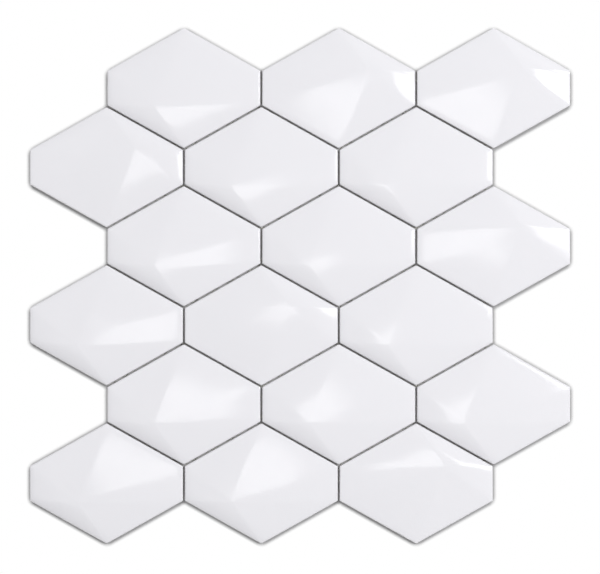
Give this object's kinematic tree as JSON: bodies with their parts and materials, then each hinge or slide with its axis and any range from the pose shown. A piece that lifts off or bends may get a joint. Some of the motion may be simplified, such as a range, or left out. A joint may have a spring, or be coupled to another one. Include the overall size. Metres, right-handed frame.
{
  "type": "ceramic mosaic tile sheet",
  "caption": "Sheet of glazed white ceramic mosaic: elongated hexagonal tiles with faceted off-centre faces, in staggered rows on a backing net.",
  "frame": {"origin": "middle of the sheet's outline, on the underside of the backing net", "axes": "+X along the tile rows, +Y across the rows towards row 1, +Z out of the glazed face"},
  "size_m": [0.3, 0.2862, 0.0084],
  "materials": {
    "glazed_tile": "gloss white glaze over pressed ceramic, sides and back bare",
    "glass_fibre_net": "resin-coated woven glass-fibre net"
  },
  "bodies": {
    "root": {"backing_net_row1": "glass_fibre_net", "backing_net_row2": "glass_fibre_net", "backing_net_row3": "glass_fibre_net", "backing_net_row4": "glass_fibre_net", "backing_net_row5": "glass_fibre_net", "backing_net_row6": "glass_fibre_net", "tile_row1_column1": "glazed_tile", "tile_row1_column2": "glazed_tile", "tile_row1_column3": "glazed_tile", "tile_row2_column1": "glazed_tile", "tile_row2_column2": "glazed_tile", "tile_row2_column3": "glazed_tile", "tile_row3_column1": "glazed_tile", "tile_row3_column2": "glazed_tile", "tile_row3_column3": "glazed_tile", "tile_row4_column1": "glazed_tile", "tile_row4_column2": "glazed_tile", "tile_row4_column3": "glazed_tile", "tile_row5_column1": "glazed_tile", "tile_row5_column2": "glazed_tile", "tile_row5_column3": "glazed_tile", "tile_row6_column1": "glazed_tile", "tile_row6_column2": "glazed_tile", "tile_row6_column3": "glazed_tile"}
  },
  "joints": []
}
